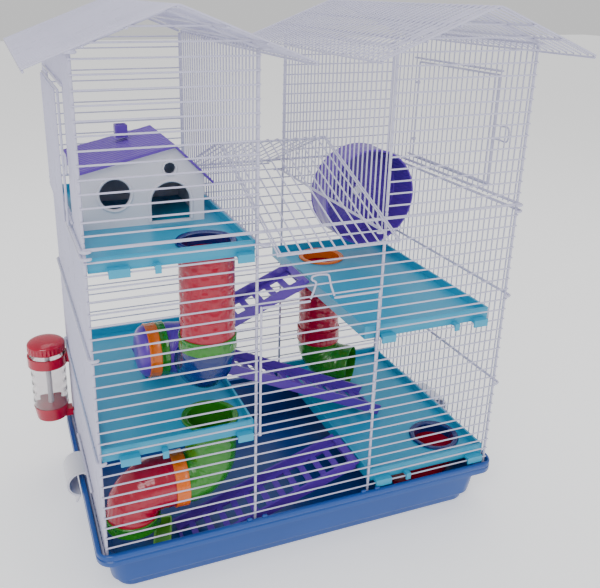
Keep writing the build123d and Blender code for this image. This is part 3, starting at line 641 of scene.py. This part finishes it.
turns, inside = np.linspace(0, 1, 18), r - dome["wall"]
domeOut = [(r - 0.4, 0), (r, 0.8), (r, length - dome["crown"])] + crown(r, 11.6, turns[1:-1])
domeOut += [(0.05, length - 1.4)]
domeIn = [(0.05, length - 3.4)] + crown(inside, 9.6, turns[::-1][1:-1])
domeIn += [(inside, length - dome["crown"]), (inside, 0.2)]
profile = np.array(domeOut + domeIn)
profile[:, 1] *= -1
centre = (hi[0], (lo[1] + hi[1]) / 2, (lo[2] + hi[2]) / 2)
revolve("purple_end_dome_shell", "purple_end_dome", profile, centre, 0, 96)
print("tubes made")


lo, hi = corners("wheel_drum")
wheelCentre = (lo + hi) / 2
wr, wd = (hi - lo)[0] / 2 / mm, (hi - lo)[1] / mm
wheel = dict(rungs=48, spokes=24, wall=2.5, rungHeight=0.6, spokeHeight=0.9, backSpoke=0.5, hub=3.1)


# running rungs inside the rim and raised spokes on the disc
def wheelRelief(angle, rho, along):
    rung = 0.5 + 0.5 * np.tanh(3 * np.cos(wheel["rungs"] * angle))
    spoke = 0.5 + 0.5 * np.tanh(3 * np.cos(wheel["spokes"] * angle) - 1.0)
    onRim = (rho > wr - 3.2) & (rho < wr - 1.5) & (np.abs(along) < wd / 2 - 4)
    onDisc = (rho > 15) & (rho < wr - 6) & (along > wd / 2 - 3.2) & (along < wd / 2 - 1.5)
    backDisc = (rho > 15) & (rho < wr - 6) & (along >= wd / 2 - 1.5)
    raised = wheel["spokeHeight"] * spoke * onDisc + wheel["backSpoke"] * spoke * backDisc
    return rho + wheel["rungHeight"] * rung * onRim, along - raised


half, bare, hub = wd / 2, wr - wheel["wall"], wheel["hub"]
profile = [(bare, -half), (wr - 0.6, -half), (wr, -half + 0.6), (wr, -half + 3.0), (wr - 0.5, -half + 3.6)]
profile += [(wr - 0.5 + 0.2 * math.cos(k * 0.9), -half + 3.6 + (wd - 8) * k / 16) for k in range(1, 17)]
profile += [(wr, half - 3.6), (wr, half - 1.0), (wr - 1.0, half), (wr - 5, half)]
profile += [(x, half) for x in np.linspace(wr - 7, 12, 16)]
profile += [(10.2, half), (hub, half), (hub, half - 6), (8.4, half - 6), (9.0, half - 5.4), (9.6, half - 2.5)]
profile += [(x, half - 2.5) for x in np.linspace(12, wr - 7, 16)]
profile += [(wr - 3.5, half - 2.5), (bare, half - 3.5)]
profile += [(bare, y) for y in np.linspace(half - 5, -half + 4.5, 16)] + [(bare, -half + 2.0)]
revolve("wheel_drum_shell", "wheel_drum", profile, wheelCentre, 1, 480, wheelRelief)
print("wheel made")


# a closed plate between two height fields over one grid
def slab(name, node, x, y, top, bottom, replaced=()):
    rows, cols = x.shape
    upper = np.stack([x, y, top], -1).reshape(-1, 3)
    lower = np.stack([x, y, bottom], -1).reshape(-1, 3)
    quads = gridFaces(rows, cols, False, False)
    n = rows * cols
    faces = [quads, quads[:, ::-1] + n]
    for line in (np.arange(cols), np.arange(rows) * cols + cols - 1, (n - 1) - np.arange(cols),
                 (np.arange(rows) * cols)[::-1]):
        a, b = line[:-1], line[1:]
        faces.append(np.stack([a, a + n, b + n, b], -1))
    addMesh(name, np.vstack([upper, lower]), np.concatenate(faces)[:, ::-1], node, replaced=replaced)


house = dict(apexX=-0.124, rib=8.0, ribDepth=1.1, thick=3.2, course=0.0162, courseStep=0.0004,
             leftSlope=22.0 / 98.0, rightSlope=33.0 / 32.0)
chimney = dict(x=-0.165, y=0.051, drop=0.0081)
windows = dict(round=(-0.188, 0.036, 0.0178, 0.0016), small=(-0.129, 0.060, 0.0074, 0.0012))
archway = dict(x=-0.129, radius=0.0228, spring=0.024, sill=0.003, kink=0.014, wire=0.0017)
wallLo, wallHi = corners("house_walls")
lo, hi = corners("house_roof")
under = wallHi[2] + 0.0003
apex = house["apexX"]
u = np.concatenate([np.linspace(lo[0], apex - 0.002, 46), np.linspace(apex - 0.0015, apex + 0.0015, 5),
                    np.linspace(apex + 0.002, hi[0], 24)])
v = np.linspace(lo[1], hi[1], 260)
x, y = np.meshgrid(u, v, indexing="ij")
fall = np.where(x < apex, house["leftSlope"] * (apex - x), house["rightSlope"] * (x - apex))
wave = 0.5 - 0.5 * np.tanh(2.5 * np.cos(2 * math.pi * (y - lo[1]) / (house["rib"] * mm)))
course = np.where(x < apex, np.mod((apex - x) / house["course"], 1.0), 0)
top = under - fall + (house["thick"] - house["ribDepth"] * wave) * mm - house["courseStep"] * course
slab("house_roof_ribbed", "house_roof", x, y, top, under - fall, replaced=["house_roof"])
stack = loopStack([(7, 7, 1.5, -6), (7, 7, 1.5, 7.2), (6.6, 6.6, 1.3, 8), (5.4, 5.4, 1.0, 8),
                   (5.2, 5.2, 1.0, 7.5), (5.2, 5.2, 1.0, 1.0)], 6)
stack = stack + np.array([chimney["x"], chimney["y"], hi[2] - chimney["drop"]])
verts, quads, caps = capped(stack)
addMesh("chimney", verts, quads, "house_roof", extraCaps=caps)

front = wallLo[1] - 0.0004


# a round bead along a rounded curve through the points
def trim(name, points, radius, closed=True):
    path = smoothPath(points, 10, closed)
    if closed:
        rings = tubeRings(path[None], radius, 10)[0]
        addMesh(name, rings.reshape(-1, 3), gridFaces(len(path), 10, wrapRows=True), "house_walls")
    else:
        verts, quads, caps = wireMesh([(path[None], radius)])
        addMesh(name, verts, quads, "house_walls", extraCaps=caps)


base = wallLo[2]
turn = np.linspace(0, 2 * math.pi, 20, endpoint=False)
for kind, (x, z, r, wire) in windows.items():
    circle = np.stack([x + r * np.cos(turn), np.full(20, front), base + z + r * np.sin(turn)], -1)
    trim(f"{kind}_window_trim", circle, wire)
x, r, sill, kink = archway["x"], archway["radius"], base + archway["sill"], base + archway["kink"]
archPoints = [(x + r, front, sill), (x + r, front, kink)]
archPoints += [(x + r * math.cos(a), front, base + archway["spring"] + r * math.sin(a))
               for a in np.linspace(0, math.pi, 14)]
archPoints += [(x - r, front, kink), (x - r, front, sill)]
trim("door_trim", archPoints, archway["wire"], closed=False)
bevel("house_walls", 0.7)
print("house made")


bottle = dict(ripple=0.25, ripplePitch=13.0, wall=1.5, fingerRibs=30, ribDepth=0.7)
lo, hi = corners("bottle_reservoir")
centre = ((lo + hi) / 2)[:2].tolist()
r, height = (hi - lo)[0] / 2 / mm, (hi - lo)[2] / mm
z = np.linspace(0, height, 60)
outside = r - bottle["ripple"] - bottle["ripple"] * np.cos(2 * math.pi * z / bottle["ripplePitch"])
profile = list(zip(outside, z)) + [(r - bottle["wall"], height), (r - bottle["wall"], 0)]
revolve("bottle_reservoir_shell", "bottle_reservoir", profile, centre + [lo[2]], 2, 96)
lo, hi = corners("bottle_cap")
r, height = (hi - lo)[0] / 2 / mm, (hi - lo)[2] / mm
capTop = [(r * math.cos(t) ** 0.8, 9.0 + (height - 9.2) * math.sin(t))
          for t in np.linspace(0, math.pi / 2, 16)[:-1]]
profile = [(0.05, 0), (r - 0.6, 0), (r, 0.6), (r, 4.5), (r, 8.2)] + capTop + [(0.05, height - 0.2)]


# finger ribs round the cap's skirt
def capRelief(angle, rho, along):
    rib = 0.5 - 0.5 * np.tanh(2.5 * np.cos(bottle["fingerRibs"] * angle))
    skirt = (rho > r - 0.8) & (along < 8.6) & (along > 0.3)
    return rho - bottle["ribDepth"] * rib * skirt, along


revolve("bottle_cap_dome", "bottle_cap", profile, centre + [lo[2]], 2, 240, capRelief)
print("bottle made")

# moulded pieces kept as they are, with softened edges: width, segments and the least angle
softened = {
    (0.5, 3, 30): ("bottle_base", "bottle_holder", "bottle_inner_tube", "wheel_axle", "wheel_bracket"),
    (0.8, 3, 32): ("shelf_upper_left", "shelf_lower_left", "shelf_upper_right", "shelf_lower_right"),
    (1.0, 3, 32): ("floor_ladder", "middle_ladder", "upper_ladder"),
    (0.6, 2, 32): ("tray_clip_left", "tray_clip_right", "feeding_trough"),
}
for settings, kept in softened.items():
    for node in kept:
        bevel(node, *settings)

for node, piece in frame["nodes"].items():
    piece.data.materials.clear()
    piece.data.materials.append(looks[slotOf[node]])
print("materials set")


room = dict(half=9, floorZ=-0.0006, floorColor=(0.93, 0.93, 0.93, 1), floorRough=0.7, floorGlow=0.4,
            skyGlow=0.75)


# a square of floor that glows a little, so that it stays pale
def paleFloor(name):
    half, z = room["half"], room["floorZ"]
    mesh = bpy.data.meshes.new(name)
    square = [(-half, -half, z), (half, -half, z), (half, half, z), (-half, half, z)]
    mesh.from_pydata(square, [], [[0, 1, 2, 3]])
    piece = bpy.data.objects.new(name, mesh)
    bpy.context.scene.collection.objects.link(piece)
    material = bpy.data.materials.new(name)
    material.use_nodes = True
    shader = material.node_tree.nodes["Principled BSDF"]
    shader.inputs["Base Color"].default_value = room["floorColor"]
    shader.inputs["Roughness"].default_value = room["floorRough"]
    shader.inputs["Emission Color"].default_value = (1, 1, 1, 1)
    shader.inputs["Emission Strength"].default_value = room["floorGlow"]
    mesh.materials.append(material)


paleFloor("paleFloor")

world = bpy.data.worlds.new("paleRoom")
bpy.context.scene.world = world
world.use_nodes = True
world.node_tree.nodes["Background"].inputs["Color"].default_value = (1.0, 1.0, 1.0, 1)
world.node_tree.nodes["Background"].inputs["Strength"].default_value = room["skyGlow"]


def area(name, place, target, size, power):
    light = bpy.data.lights.new(name, "AREA")
    light.shape = "RECTANGLE"
    light.size, light.size_y = size
    light.energy = power
    lamp = bpy.data.objects.new(name, light)
    bpy.context.scene.collection.objects.link(lamp)
    direction = Vector(target) - Vector(place)
    turn = direction.to_track_quat("-Z", "Y").to_matrix().to_4x4()
    lamp.matrix_world = Matrix.Translation(Vector(place)) @ turn


area("keyLight", (-1.3, -1.7, 1.9), (0, 0, 0.25), (1.4, 1.2), 34)
area("fillLight", (1.8, -1.4, 1.2), (0, 0, 0.25), (1.4, 1.2), 9)
area("topLight", (0.2, 0.5, 2.2), (0, 0, 0.3), (1.8, 1.8), 15)

view = dict(place=(-0.3012, -0.7658, 0.6189), right=(0.9340, -0.3573, 0.0), up=(0.1204, 0.3149, 0.9415),
            roll=0.69, lens=43.37, shift=(0.0581, -0.0738))
right0, up0 = Vector(view["right"]), Vector(view["up"])
roll = math.radians(view["roll"])
rightAxis = (right0 * math.cos(roll) + up0 * math.sin(roll)).normalized()
upAxis = (up0 * math.cos(roll) - right0 * math.sin(roll)).normalized()
backAxis = rightAxis.cross(upAxis)
lens = bpy.data.cameras.new("mainCamera")
lens.lens, lens.sensor_width = view["lens"], 36.0
lens.shift_x, lens.shift_y = view["shift"]
lens.clip_start, lens.clip_end = 0.01, 50.0
lens.dof.use_dof = False
camera = bpy.data.objects.new("mainCamera", lens)
bpy.context.scene.collection.objects.link(camera)
pose = Matrix((rightAxis, upAxis, backAxis)).transposed().to_4x4()
camera.matrix_world = Matrix.Translation(Vector(view["place"])) @ pose
bpy.context.scene.camera = camera
print("camera set")
